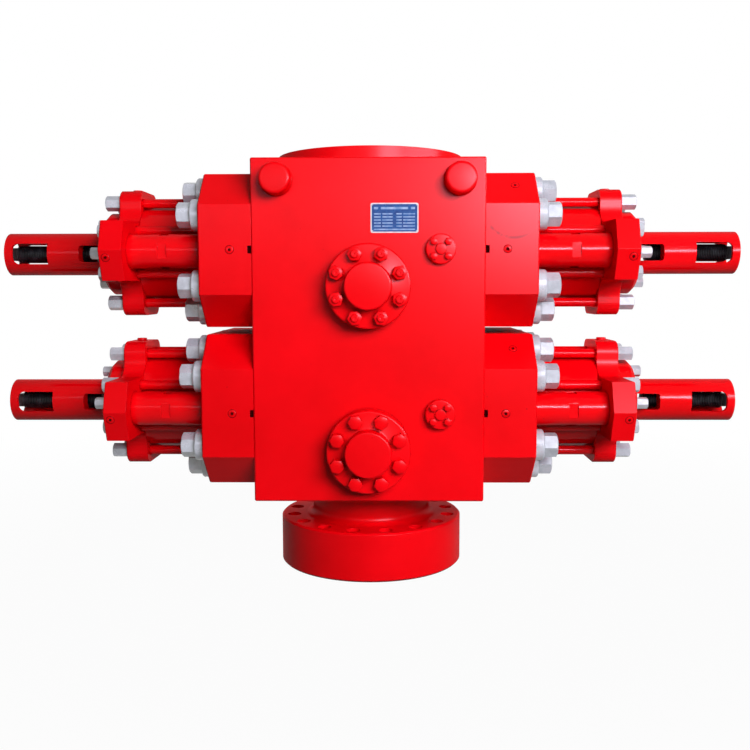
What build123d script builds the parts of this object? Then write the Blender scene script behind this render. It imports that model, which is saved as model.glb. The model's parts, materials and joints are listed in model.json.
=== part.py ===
# Double ram blowout preventer with shear rams, flanged below and studded on top.
# Millimetres. X runs along the rams, -Y is the front that carries the outlets, Z runs up the well bore,
# and the origin is the middle of the bottom flange's lower face.
from build123d import *
import os

# Well bore and its end connections, after the 11 inch flange for 10 000 psi
bore_diameter = 279.4
flange_diameter = 654.0
flange_thickness = 168.0
flange_edge_chamfer = 6.0
neck_diameter = 425.0
neck_length = 124.0
neck_fillet = 26.0
stud_circle_diameter = 565.15
stud_count = 16
stud_hole_diameter = 47.6
tapped_hole_diameter = 44.45
tapped_hole_depth = 92.0
ring_groove_diameter = 352.4
ring_groove_width = 23.0
ring_groove_depth = 15.0
ring_groove_floor_share = 0.45

# Body block, and the round boss on top that takes the studs
body_width = 749.0
body_depth = 760.0
body_height = 1108.0
body_edge_chamfer = 4.0
boss_diameter = 650.0
boss_height = 44.0

# Ram passages through the block, and the ram blocks drawn back clear of the bore
passage_width = 336.0
passage_height = 196.0
ram_clearance = 0.8
ram_setback = 10.0
blade_overhang = 46.0
blade_notch_depth = 26.0
pipe_recess_diameter = 127.0
packer_slot_height = 38.0
packer_slot_depth = 12.0

# Bonnets, the eight-sided doors at both ends of each passage, just inside the block's front and back
bonnet_thickness = 171.5
bonnet_inset = 4.0
bonnet_height = 505.0
bonnet_gap = 24.4
bonnet_corner_depth = 116.0
bonnet_corner_height = 108.5
bonnet_edge_chamfer = 4.0
pry_slot_width = 12.0
pry_slot_height = 24.0
pry_slot_depth = 14.0

# Bonnet bolts, two in each corner of a bonnet, each with a thick round collar under its hexagon
outer_bolt_inset = 76.0
outer_bolt_z = 115.0
inner_bolt_y = 190.0
inner_bolt_inset = 57.5
bolt_collar_diameter = 104.0
bolt_collar_height = 33.0
bolt_head_flats = 72.0
bolt_head_height = 46.0

# Operating cylinder, and the two ram-change cylinders beside it
cylinder_diameter = 334.0
cylinder_length = 251.0
change_diameter = 114.0
change_offset = 250.0
wrench_flats = 103.0
wrench_band_start = 119.0
wrench_band_length = 30.0

# Tie rods that clamp the cylinder between bonnet and head
tie_count = 8
tie_circle_diameter = 376.6
tie_rod_diameter = 32.0
tie_hole_clearance = 0.5
tie_nut_flats = 46.0
tie_nut_height = 54.0

# Cylinder head: a plate with an ear above and below, and a pointed nose over each ram-change cylinder
head_thickness = 76.0
head_height = 436.0
ear_width = 216.0
ear_fillet = 58.0
ear_corner_radius = 42.0
head_reach = 365.0
nose_height = 196.0
nose_fall = 36.0
head_edge_chamfer = 3.0

# Lock-screw housing: a bolted flange and a tube with two windows cut straight through
lock_flange_diameter = 290.0
lock_flange_thickness = 63.0
lock_flange_chamfer = 14.0
tube_diameter = 150.0
tube_length = 363.0
tube_wall = 12.0
inner_window_length = 97.0
inner_window_height = 58.0
inner_window_radius = 10.0
thread_length = 113.0
outer_window_length = 126.0
outer_window_height = 72.0
outer_window_radius = 20.0
lock_bolt_count = 4
lock_bolt_circle_diameter = 208.0
lock_bolt_flats = 36.0
lock_bolt_height = 42.0

# Locking screw, with a square end for the turning key, and its travel towards the bore
screw_diameter = 62.0
screw_clearance = 0.3
screw_end_inset = 26.0
screw_grip_inside = 48.0
screw_travel = 145.0
screw_end_chamfer = 4.0
key_flats = 46.0
key_length = 19.0
pocket_spare = 12.0

# Side outlets below each ram, closed by blind flanges with a hub
outlet_drop = 117.5
outlet_bore_diameter = 77.8
outlet_flange_diameter = 270.0
outlet_flange_thickness = 58.0
outlet_flange_chamfer = 5.0
hub_diameter = 149.0
hub_height = 50.0
hub_edge_chamfer = 5.0
outlet_nut_count = 8
outlet_nut_circle_diameter = 215.9
outlet_nut_flats = 41.3
outlet_nut_height = 25.4

# Round covers over the control ports, to the right of the outlets
port_inset = 143.5
port_cover_diameter = 96.0
port_cover_thickness = 25.0
port_cover_chamfer = 4.0
port_plug_diameter = 35.0
port_plug_height = 6.0

# Lifting pins high on the front and the back of the block
pin_inset = 82.5
pin_drop = 70.0
pin_diameter = 100.0
pin_length = 60.0
pin_edge_chamfer = 8.0

# How far every cutter runs past the face that it opens
overrun = 5.0

# Levels up the well bore, and stations outward along a ram, worked out from the sizes above
body_bottom = flange_thickness + neck_length
body_top = body_bottom + body_height
top_face = body_top + boss_height
ram_pitch = bonnet_height + bonnet_gap
lower_ram_level = body_bottom + (body_height - ram_pitch) / 2
upper_ram_level = lower_ram_level + ram_pitch
pin_level = body_top - pin_drop
body_side = body_width / 2
body_front = body_depth / 2
port_offset = body_side - port_inset
pin_offset = body_side - pin_inset
bonnet_depth = body_depth - 2 * bonnet_inset
bonnet_face = body_side + bonnet_thickness
head_inner_face = bonnet_face + cylinder_length
head_face = head_inner_face + head_thickness
lock_flange_face = head_face + lock_flange_thickness
inner_window_end = lock_flange_face + inner_window_length
outer_window_start = inner_window_end + thread_length
outer_window_end = outer_window_start + outer_window_length
tube_end = lock_flange_face + tube_length
tube_bore_radius = tube_diameter / 2 - tube_wall
thread_bore_radius = screw_diameter / 2 + screw_clearance
screw_inner_end = inner_window_end - screw_grip_inside
screw_shoulder = tube_end - screw_end_inset
ram_front = bore_diameter / 2 + ram_setback

low = (Align.CENTER, Align.CENTER, Align.MIN)
outward = (Align.MIN, Align.CENTER, Align.CENTER)


def rod_along_x(diameter, start, length):
    """A round bar along the ram, from a station outward."""
    return Pos(start, 0, 0) * Rot(0, 90, 0) * Cylinder(diameter / 2, length, align=low)


def rod_along_y(diameter, length):
    """A round bar through the block from front to back."""
    return Rot(90, 0, 0) * Cylinder(diameter / 2, length)


def slab_along_x(outline, start, length):
    """An outline drawn across the ram, carried outward from a station."""
    return extrude(Plane.YZ.offset(start) * outline, length)


def hexagon_along_x(flats, start, height, turn=0):
    """A hexagon bar along the ram, for bolt heads and nuts."""
    outline = RegularPolygon(flats / 2, 6, major_radius=False, rotation=turn)
    return slab_along_x(outline, start, height)


def around(diameter, count, first_angle):
    """The places of a bolt circle, seen along its axis."""
    return PolarLocations(diameter / 2, count, start_angle=first_angle)


def ring_groove():
    """The tapered groove for a metal gasket, opening upward from the level of its floor."""
    outer = ring_groove_diameter / 2
    inner = outer - ring_groove_width
    taper = ring_groove_depth * ring_groove_floor_share
    outline = Polygon(
        (inner + taper, 0),
        (outer - taper, 0),
        (outer, ring_groove_depth),
        (outer, ring_groove_depth + overrun),
        (inner, ring_groove_depth + overrun),
        (inner, ring_groove_depth),
        align=None,
    )
    return revolve(Plane.XZ * outline, Axis.Z)


def flange_and_neck():
    """The bottom flange, with the neck that runs up into the block on a fillet."""
    rim = flange_diameter / 2
    neck = neck_diameter / 2
    edge = flange_edge_chamfer
    rise = flange_thickness + neck_fillet
    outside = Polyline(
        (0, 0),
        (rim - edge, 0),
        (rim, edge),
        (rim, flange_thickness - edge),
        (rim - edge, flange_thickness),
        (neck + neck_fillet, flange_thickness),
    )
    fillet_arc = CenterArc((neck + neck_fillet, rise), neck_fillet, 180, 90)
    inside = Polyline((neck, rise), (neck, body_bottom + overrun), (0, body_bottom + overrun), (0, 0))
    return revolve(Plane.XZ * make_face(outside + fillet_arc + inside), Axis.Z)


def body():
    """The one-piece forging: block, boss, neck and flange, with its bore, passages and holes."""
    block = chamfer(Box(body_width, body_depth, body_height, align=low).edges(), body_edge_chamfer)
    forging = Pos(0, 0, body_bottom) * block
    boss = Cylinder(boss_diameter / 2, boss_height + body_edge_chamfer, align=low)
    forging += Pos(0, 0, body_top - body_edge_chamfer) * boss
    forging += flange_and_neck()
    forging -= Pos(0, 0, -overrun) * Cylinder(bore_diameter / 2, top_face + 2 * overrun, align=low)
    passage = SlotOverall(passage_width, passage_height)
    for level in (lower_ram_level, upper_ram_level):
        reach = body_side + overrun
        forging -= Pos(0, 0, level) * slab_along_x(passage, -reach, 2 * reach)
        outlet = rod_along_y(outlet_bore_diameter, body_depth + 2 * overrun)
        forging -= Pos(0, 0, level - outlet_drop) * outlet
    half_pitch = 180 / stud_count
    stud_hole = Cylinder(stud_hole_diameter / 2, flange_thickness + 2 * overrun, align=low)
    tapped_hole = Cylinder(tapped_hole_diameter / 2, tapped_hole_depth + overrun, align=low)
    places = around(stud_circle_diameter, stud_count, half_pitch)
    forging -= [Pos(0, 0, -overrun) * place * stud_hole for place in places]
    forging -= [Pos(0, 0, top_face - tapped_hole_depth) * place * tapped_hole for place in places]
    forging -= Pos(0, 0, top_face - ring_groove_depth) * ring_groove()
    forging -= Pos(0, 0, ring_groove_depth) * Rot(180, 0, 0) * ring_groove()
    return forging


def ram_block():
    """A ram without its front: a bar that fills the passage, drawn back against the bonnet."""
    outline = SlotOverall(passage_width - 2 * ram_clearance, passage_height - 2 * ram_clearance)
    return slab_along_x(outline, ram_front, body_side - ram_front)


def shear_ram(blade_side):
    """A shear ram: one half of its front stands out as a blade with a shallow V edge."""
    ram = ram_block()
    gap = Box(blade_overhang + overrun, passage_width, passage_height, align=outward)
    ram -= Pos(ram_front - overrun, 0, -blade_side * passage_height / 2) * gap
    half = passage_width / 2
    notch = Polygon(
        (ram_front - overrun, -half),
        (ram_front, -half),
        (ram_front + blade_notch_depth, 0),
        (ram_front, half),
        (ram_front - overrun, half),
        align=None,
    )
    return ram - extrude(notch, passage_height, both=True)


def pipe_ram():
    """A pipe ram: a half-round recess for the pipe, and a slot across the front for its packer."""
    ram = ram_block()
    recess = Cylinder(pipe_recess_diameter / 2, passage_height + 2 * overrun)
    slot = Box(packer_slot_depth + overrun, passage_width, packer_slot_height, align=outward)
    ram -= Pos(ram_front, 0, 0) * recess
    return ram - Pos(ram_front - overrun, 0, 0) * slot


def bonnet():
    """An eight-sided bonnet, with a slot front and back where a bar can part it from the block."""
    half_depth = bonnet_depth / 2
    half_height = bonnet_height / 2
    flank = half_height - bonnet_corner_height
    crown = half_depth - bonnet_corner_depth
    outline = Polygon(
        (half_depth, -flank),
        (half_depth, flank),
        (crown, half_height),
        (-crown, half_height),
        (-half_depth, flank),
        (-half_depth, -flank),
        (-crown, -half_height),
        (crown, -half_height),
        align=None,
    )
    door = slab_along_x(outline, body_side, bonnet_thickness)
    outer_edges = door.faces().sort_by(Axis.X)[-1].outer_wire().edges()
    door = chamfer(outer_edges, bonnet_edge_chamfer)
    slot = Box(pry_slot_width + overrun, 2 * pry_slot_depth, pry_slot_height, align=outward)
    for side in (-1, 1):
        door -= Pos(body_side - overrun, side * half_depth, 0) * slot
    return door


def bonnet_bolts():
    """The heads of the bonnet's bolts, seated on its outer face."""
    outer_bolt_y = bonnet_depth / 2 - outer_bolt_inset
    inner_bolt_z = bonnet_height / 2 - inner_bolt_inset
    corners = ((outer_bolt_y, outer_bolt_z), (inner_bolt_y, inner_bolt_z))
    head = rod_along_x(bolt_collar_diameter, bonnet_face, bolt_collar_height)
    head += hexagon_along_x(bolt_head_flats, bonnet_face + bolt_collar_height, bolt_head_height)
    heads = []
    for y, z in corners:
        for front in (-1, 1):
            for up in (-1, 1):
                heads.append(Pos(0, front * y, up * z) * head)
    return heads


def operating_cylinder():
    """The cylinder that drives the ram, from the bonnet to its head."""
    return rod_along_x(cylinder_diameter, bonnet_face, cylinder_length)


def change_cylinders():
    """The ram-change cylinders, front and back, each with a short band of four wrench flats."""
    barrel = rod_along_x(change_diameter, bonnet_face, cylinder_length)
    band_start = bonnet_face + wrench_band_start
    band = rod_along_x(change_diameter + 2 * overrun, band_start, wrench_band_length)
    square = slab_along_x(Rectangle(wrench_flats, wrench_flats), band_start, wrench_band_length)
    barrel -= band - square
    return [Pos(0, side * change_offset, 0) * barrel for side in (-1, 1)]


def tie_places():
    """Where the tie rods stand round the ram's axis, as pairs across and up."""
    half_pitch = 180 / tie_count
    return [place.position for place in around(tie_circle_diameter, tie_count, half_pitch)]


def tie_rods():
    """The tie rods, from the bonnet through the head."""
    rod = rod_along_x(tie_rod_diameter, bonnet_face, cylinder_length + head_thickness)
    return [Pos(0, place.X, place.Y) * rod for place in tie_places()]


def cylinder_head():
    """The end plate over the cylinders, drilled for the tie rods and for the locking screw's end."""
    ears = Rectangle(ear_width, head_height)
    half = nose_height / 2
    shoulder = head_reach - nose_fall
    nose = Polygon(
        (head_reach, 0),
        (shoulder, half),
        (-shoulder, half),
        (-head_reach, 0),
        (-shoulder, -half),
        (shoulder, -half),
        align=None,
    )
    plate = ears + nose
    inner_corners = plate.vertices().sort_by_distance((0, 0))[:4]
    plate = fillet(inner_corners, ear_fillet)
    rows = plate.vertices().group_by(Axis.Y)
    plate = fillet(rows[0] + rows[-1], ear_corner_radius)
    head = slab_along_x(plate, head_inner_face, head_thickness)
    outer_edges = head.faces().sort_by(Axis.X)[-1].outer_wire().edges()
    head = chamfer(outer_edges, head_edge_chamfer)
    hole_diameter = tie_rod_diameter + 2 * tie_hole_clearance
    hole = rod_along_x(hole_diameter, head_inner_face - overrun, head_thickness + 2 * overrun)
    head -= [Pos(0, place.X, place.Y) * hole for place in tie_places()]
    pocket_floor = screw_inner_end - screw_travel - pocket_spare
    return head - rod_along_x(2 * tube_bore_radius, pocket_floor, head_face - pocket_floor + overrun)


def head_nuts():
    """The tie rods' nuts on the head, and the bolts that hold the lock-screw housing."""
    nut = hexagon_along_x(tie_nut_flats, head_face, tie_nut_height)
    nuts = [Pos(0, place.X, place.Y) * nut for place in tie_places()]
    bolt = hexagon_along_x(lock_bolt_flats, lock_flange_face, lock_bolt_height)
    for index in range(lock_bolt_count):
        turn = Rot(360 * index / lock_bolt_count, 0, 0)
        nuts.append(turn * Pos(0, 0, lock_bolt_circle_diameter / 2) * bolt)
    return nuts


def window(start, length, height, radius):
    """A window straight through the tube, with its outer corners rounded."""
    outline = Pos(start + length / 2, 0) * Rectangle(length, height)
    outline = fillet(outline.vertices().group_by(Axis.X)[-1], radius)
    return extrude(Plane.XZ * outline, tube_diameter, both=True)


def lock_housing():
    """The lock-screw housing: flange and tube in one, with the thread between its two windows."""
    rim = lock_flange_diameter / 2
    edge = lock_flange_chamfer
    tube = tube_diameter / 2
    profile = Polygon(
        (head_face, tube_bore_radius),
        (head_face, rim),
        (lock_flange_face - edge, rim),
        (lock_flange_face, rim - edge),
        (lock_flange_face, tube),
        (tube_end, tube),
        (tube_end, tube_bore_radius),
        (outer_window_start, tube_bore_radius),
        (outer_window_start, thread_bore_radius),
        (inner_window_end, thread_bore_radius),
        (inner_window_end, tube_bore_radius),
        align=None,
    )
    housing = revolve(profile, Axis.X)
    windows = (
        (lock_flange_face, inner_window_length, inner_window_height, inner_window_radius),
        (outer_window_start, outer_window_length, outer_window_height, outer_window_radius),
    )
    for opening in windows:
        housing -= window(*opening)
    return housing


def lock_screw():
    """The locking screw, backed right out, with a square end for its key."""
    bar = rod_along_x(screw_diameter, screw_inner_end, screw_shoulder - screw_inner_end)
    bar = chamfer(bar.edges().filter_by(GeomType.CIRCLE), screw_end_chamfer)
    square = slab_along_x(Rectangle(key_flats, key_flats), screw_shoulder, key_length)
    key = square & rod_along_x(screw_diameter, screw_shoulder, key_length)
    return bar + key


def outlet_flange():
    """A blind flange over a side outlet, with its hub, standing out of the front face."""
    rim = outlet_flange_diameter / 2
    edge = outlet_flange_chamfer
    disc = Cylinder(rim, outlet_flange_thickness, align=low)
    disc = chamfer(disc.edges().filter_by(GeomType.CIRCLE).sort_by(Axis.Z)[-1], edge)
    hub = Cylinder(hub_diameter / 2, hub_height, align=low)
    hub = chamfer(hub.edges().filter_by(GeomType.CIRCLE).sort_by(Axis.Z)[-1], hub_edge_chamfer)
    return disc + Pos(0, 0, outlet_flange_thickness) * hub


def outlet_nuts():
    """The nuts round one blind flange, straddling its centre lines."""
    outline = RegularPolygon(outlet_nut_flats / 2, 6, major_radius=False)
    nut = extrude(outline, outlet_nut_height)
    places = around(outlet_nut_circle_diameter, outlet_nut_count, 180 / outlet_nut_count)
    return [Pos(0, 0, outlet_flange_thickness) * place * nut for place in places]


def port_cover():
    """A round cover over a control port, with a plug in its middle."""
    disc = Cylinder(port_cover_diameter / 2, port_cover_thickness, align=low)
    disc = chamfer(disc.edges().filter_by(GeomType.CIRCLE).sort_by(Axis.Z)[-1], port_cover_chamfer)
    plug = Cylinder(port_plug_diameter / 2, port_plug_height, align=low)
    return disc + Pos(0, 0, port_cover_thickness) * plug


def lifting_pin():
    """A stout round pin to sling the preventer from."""
    pin = Cylinder(pin_diameter / 2, pin_length, align=low)
    return chamfer(pin.edges().filter_by(GeomType.CIRCLE).sort_by(Axis.Z)[-1], pin_edge_chamfer)


def on_front(x, z):
    """A place on the front face, with its own Z pointing out of the block."""
    return Pos(x, -body_front, z) * Rot(90, 0, 0)


def on_back(x, z):
    """The place behind that one, on the back face."""
    return Pos(x, body_front, z) * Rot(-90, 0, 0)


def save(name, solids):
    """Write one sub-part, of one solid or of several that stand apart."""
    shape = Compound(children=list(solids)) if isinstance(solids, list) else solids
    export_step(shape, os.path.join("parts", name + ".step"))


def save_ram_ends():
    """Everything that repeats at the four ends of the two rams."""
    pieces = {
        "bonnet": bonnet(),
        "bonnet_bolts": bonnet_bolts(),
        "operating_cylinder": operating_cylinder(),
        "change_cylinders": change_cylinders(),
        "tie_rods": tie_rods(),
        "cylinder_head": cylinder_head(),
        "head_nuts": head_nuts(),
        "lock_housing": lock_housing(),
        "lock_screw": lock_screw(),
    }
    for level_name, level in (("lower", lower_ram_level), ("upper", upper_ram_level)):
        for side_name, turn in (("right", 0), ("left", 180)):
            place = Pos(0, 0, level) * Rot(0, 0, turn)
            for piece_name, piece in pieces.items():
                name = "_".join((level_name, side_name, piece_name))
                if isinstance(piece, list):
                    save(name, [place * solid for solid in piece])
                else:
                    save(name, place * piece)


def save_block_pieces():
    """The body, the rams inside it, and what is fixed to its front and back."""
    save("body", body())
    half_turn = Rot(0, 0, 180)
    upper = Pos(0, 0, upper_ram_level)
    lower = Pos(0, 0, lower_ram_level)
    save("upper_shear_rams", [upper * shear_ram(-1), upper * half_turn * shear_ram(1)])
    save("lower_pipe_rams", [lower * pipe_ram(), lower * half_turn * pipe_ram()])
    for level_name, level in (("lower", lower_ram_level), ("upper", upper_ram_level)):
        outlet_level = level - outlet_drop
        faces = (on_front(0, outlet_level), on_back(0, outlet_level))
        save(level_name + "_outlet_flanges", [face * outlet_flange() for face in faces])
        save(level_name + "_outlet_nuts", [face * nut for face in faces for nut in outlet_nuts()])
    ram_levels = (lower_ram_level, upper_ram_level)
    save("port_covers", [on_front(port_offset, level) * port_cover() for level in ram_levels])
    pins = []
    for x in (-pin_offset, pin_offset):
        pins.append(on_front(x, pin_level) * lifting_pin())
        pins.append(on_back(x, pin_level) * lifting_pin())
    save("lifting_pins", pins)


os.makedirs("parts", exist_ok=True)
save_block_pieces()
save_ram_ends()
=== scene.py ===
import json
import math
import random

import bpy
from mathutils import Matrix, Vector

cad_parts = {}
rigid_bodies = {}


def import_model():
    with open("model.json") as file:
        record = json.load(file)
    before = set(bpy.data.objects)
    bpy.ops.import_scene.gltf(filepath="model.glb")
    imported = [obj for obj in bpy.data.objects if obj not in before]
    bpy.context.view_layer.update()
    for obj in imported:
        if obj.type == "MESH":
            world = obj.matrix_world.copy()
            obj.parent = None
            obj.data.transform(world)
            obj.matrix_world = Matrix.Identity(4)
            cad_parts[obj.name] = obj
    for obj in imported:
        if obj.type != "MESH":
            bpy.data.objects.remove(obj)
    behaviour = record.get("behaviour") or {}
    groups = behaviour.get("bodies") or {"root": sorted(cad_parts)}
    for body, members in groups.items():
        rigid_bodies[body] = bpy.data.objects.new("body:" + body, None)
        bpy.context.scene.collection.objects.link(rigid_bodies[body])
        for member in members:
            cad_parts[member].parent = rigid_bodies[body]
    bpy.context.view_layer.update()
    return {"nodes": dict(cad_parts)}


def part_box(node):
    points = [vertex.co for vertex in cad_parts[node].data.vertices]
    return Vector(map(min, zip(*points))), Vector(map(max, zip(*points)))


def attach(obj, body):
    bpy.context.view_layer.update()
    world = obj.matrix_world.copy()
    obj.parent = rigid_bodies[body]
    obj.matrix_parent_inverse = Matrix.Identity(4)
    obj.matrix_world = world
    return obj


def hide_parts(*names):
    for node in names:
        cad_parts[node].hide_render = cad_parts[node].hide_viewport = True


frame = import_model()


# Body
# One steel forging: a block with the well bore up its middle, a bolted flange on a neck below it and a
# round boss for studs on top. It is machined all over and sprayed with red gloss paint, and only the
# bore and the two gasket grooves stay bare steel.
PAINT_DEEP = (0.700, 0.0004, 0.0020, 1)
PAINT_BRIGHT = (0.860, 0.0008, 0.0040, 1)
# Painted shade: the darker red that corners and creases are blended towards.
PAINT_SHADE_IN_CORNERS = (0.240, 0.0004, 0.0010, 1)
PAINT_NIBS = (0.300, 0.0008, 0.0015, 1)
PAINT_RUBBED = (0.340, 0.0006, 0.0020, 1)
LACQUER_SHARE = 0.15
RUBBED_ROUGHER = 0.45
CORNER_SHADE_REACH = 0.016
PAINT_EDGE = 0.0020
PEEL_DEPTH = 0.0008
MACHINED_STEEL = (0.42, 0.42, 0.43, 1)
BARE_BORE_RADIUS = 0.1404
GROOVE_INNER_RADIUS = 0.1500
GROOVE_OUTER_RADIUS = 0.1775
GROOVE_DEPTH = 0.0151
PAINTED_FACE_SKIN = 0.0005


def new_material(name):
    """An empty material, its node tree and its main shader."""
    material = bpy.data.materials.new(name)
    material.use_nodes = True
    tree = material.node_tree
    return material, tree, tree.nodes["Principled BSDF"]


def add_node(tree, kind, links=(), **values):
    """A node with its plain properties set and its numbered or named inputs filled or linked."""
    node = tree.nodes.new(kind)
    for key, value in values.items():
        setattr(node, key, value)
    for socket, source in dict(links).items():
        if isinstance(source, bpy.types.NodeSocket):
            tree.links.new(source, node.inputs[socket])
        else:
            node.inputs[socket].default_value = source
    return node


def noise(tree, position, scale, detail=3.0, roughness=0.5):
    """Noise of that many cells to the metre."""
    inputs = {"Vector": position, "Scale": scale, "Detail": detail, "Roughness": roughness}
    return add_node(tree, "ShaderNodeTexNoise", inputs).outputs["Fac"]


def spread(tree, value, low, high, new_low, new_high):
    """A value moved from one range to another, and held inside it."""
    inputs = {"Value": value, "From Min": low, "From Max": high, "To Min": new_low, "To Max": new_high}
    return add_node(tree, "ShaderNodeMapRange", inputs, clamp=True).outputs["Result"]


def blend_colours(tree, share, first, second):
    """The first colour where the share is 0 and the second where it is 1."""
    node = tree.nodes.new("ShaderNodeMix")
    node.data_type = "RGBA"
    colour_sockets = [socket for socket in node.inputs if socket.type == "RGBA"]
    for socket, source in zip([node.inputs["Factor"]] + colour_sockets, (share, first, second)):
        if isinstance(source, bpy.types.NodeSocket):
            tree.links.new(source, socket)
        else:
            socket.default_value = source
    return next(socket for socket in node.outputs if socket.type == "RGBA")


def maths(tree, operation, first, second=0.0):
    """One sum on two values."""
    return add_node(tree, "ShaderNodeMath", {0: first, 1: second}, operation=operation).outputs["Value"]


def red_gloss_paint(name, steel_mask=None, scuff_mask=None, smooth=0.25, rough=0.29, peel_strength=0.05):
    """Sprayed red under a thin lacquer: slow drift in its depth, painted shade in corners, orange peel."""
    material, tree, shader = new_material(name)
    position = add_node(tree, "ShaderNodeTexCoord").outputs["Object"]
    drift = noise(tree, position, 2.4, 4.0, 0.6)
    colour = blend_colours(tree, spread(tree, drift, 0.3, 0.7, 0.0, 1.0), PAINT_DEEP, PAINT_BRIGHT)
    # Painted shade: ambient occlusion darkens the paint in corners, in creases and between parts.
    occlusion = add_node(tree, "ShaderNodeAmbientOcclusion", {"Distance": CORNER_SHADE_REACH}, samples=6)
    corner = occlusion.outputs["AO"]
    colour = blend_colours(tree, spread(tree, corner, 0.25, 0.8, 0.75, 0.0), colour, PAINT_SHADE_IN_CORNERS)
    nibs = noise(tree, position, 95.0, 1.0)
    colour = blend_colours(tree, spread(tree, nibs, 0.795, 0.82, 0.0, 0.55), colour, PAINT_NIBS)
    roughness = spread(tree, noise(tree, position, 22.0, 4.0), 0.25, 0.75, smooth, rough)
    if scuff_mask:
        scuff = scuff_mask(tree, position)
        colour = blend_colours(tree, scuff, colour, PAINT_RUBBED)
        roughness = maths(tree, "ADD", roughness, maths(tree, "MULTIPLY", scuff, RUBBED_ROUGHER))
    if steel_mask:
        bare = steel_mask(tree, position)
        colour = blend_colours(tree, bare, colour, MACHINED_STEEL)
        tree.links.new(bare, shader.inputs["Metallic"])
    peel = noise(tree, position, 230.0, 2.0)
    waves = noise(tree, position, 9.0, 2.0)
    height = maths(tree, "ADD", maths(tree, "MULTIPLY", peel, 0.35), waves)
    soft_edge = add_node(tree, "ShaderNodeBevel", {"Radius": PAINT_EDGE}, samples=4).outputs["Normal"]
    bump = {"Height": height, "Strength": peel_strength, "Distance": PEEL_DEPTH, "Normal": soft_edge}
    peeled = add_node(tree, "ShaderNodeBump", bump).outputs["Normal"]
    tree.links.new(peeled, shader.inputs["Normal"])
    tree.links.new(peeled, shader.inputs["Coat Normal"])
    tree.links.new(colour, shader.inputs["Base Color"])
    tree.links.new(roughness, shader.inputs["Roughness"])
    shader.inputs["Specular IOR Level"].default_value = 0.0
    shader.inputs["Coat Weight"].default_value = LACQUER_SHARE
    shader.inputs["Coat Roughness"].default_value = (smooth + rough) / 2
    return material


def bare_in_bore_and_grooves(tree, position):
    """1 inside the well bore and in the two gasket grooves, and 0 on the painted faces."""
    axes = add_node(tree, "ShaderNodeSeparateXYZ", {0: position}).outputs
    across = maths(tree, "POWER", axes["X"], 2.0)
    along = maths(tree, "POWER", axes["Y"], 2.0)
    radius = maths(tree, "SQRT", maths(tree, "ADD", across, along))
    in_bore = maths(tree, "LESS_THAN", radius, BARE_BORE_RADIUS)
    past_inner = maths(tree, "GREATER_THAN", radius, GROOVE_INNER_RADIUS)
    before_outer = maths(tree, "LESS_THAN", radius, GROOVE_OUTER_RADIUS)
    under_top = maths(tree, "LESS_THAN", axes["Z"], body_top - PAINTED_FACE_SKIN)
    near_top = maths(tree, "GREATER_THAN", axes["Z"], body_top - GROOVE_DEPTH)
    near_foot = maths(tree, "LESS_THAN", axes["Z"], body_foot + GROOVE_DEPTH)
    at_ends = maths(tree, "MAXIMUM", maths(tree, "MULTIPLY", near_top, under_top), near_foot)
    groove = maths(tree, "MULTIPLY", maths(tree, "MULTIPLY", past_inner, before_outer), at_ends)
    return maths(tree, "MAXIMUM", in_bore, groove)


body_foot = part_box("body")[0].z
body_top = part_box("body")[1].z
body_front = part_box("body")[0].y
body_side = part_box("body")[1].x
red_paint = red_gloss_paint("red_gloss_paint")
body_paint = red_gloss_paint("red_gloss_paint_with_bare_bore", steel_mask=bare_in_bore_and_grooves)
frame["nodes"]["body"].data.materials.clear()
frame["nodes"]["body"].data.materials.append(body_paint)


# Rams
# Steel blocks that slide in the body's passages and meet over the bore: shear rams above and pipe rams
# below. They are ground bright, and stand drawn back behind the bore wall.
RAM_STEEL = (0.34, 0.34, 0.35, 1)
RAM_STEEL_DARK = (0.20, 0.20, 0.21, 1)


def dress(node_name, material):
    """Gives a solid of the frame its finish."""
    materials = frame["nodes"][node_name].data.materials
    materials.clear()
    materials.append(material)


ground_steel, tree, shader = new_material("ground_ram_steel")
position = add_node(tree, "ShaderNodeTexCoord").outputs["Object"]
across_grain = add_node(tree, "ShaderNodeMapping", {"Vector": position, "Scale": (6.0, 260.0, 260.0)})
grain = noise(tree, across_grain.outputs["Vector"], 1.0, 4.0)
colour = blend_colours(tree, spread(tree, grain, 0.3, 0.7, 0.0, 1.0), RAM_STEEL_DARK, RAM_STEEL)
tree.links.new(colour, shader.inputs["Base Color"])
tree.links.new(spread(tree, grain, 0.2, 0.8, 0.30, 0.48), shader.inputs["Roughness"])
shader.inputs["Metallic"].default_value = 1.0
dress("upper_shear_rams", ground_steel)
dress("lower_pipe_rams", ground_steel)


# Bonnets
# Eight-sided steel doors that close both ends of each ram passage, painted with the body. Each has a pry
# slot at the joint, lined dark as painted shade, and socket plugs screwed flush into its drilled oil ways,
# each with a dark joint round it and painted shade in its socket.
RAM_ENDS = [(level, side) for level in ("lower", "upper") for side in ("left", "right")]
OUTWARD = {"left": -1, "right": 1}
SCUFF_RADIUS = 0.098
SCUFF_WIDTH = 0.0085
SCUFF_PLACE = (0.090, 0.134)
BLACK_OXIDE = (0.012, 0.012, 0.013, 1)
BLACK_OXIDE_WORN = (0.045, 0.046, 0.050, 1)
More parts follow.
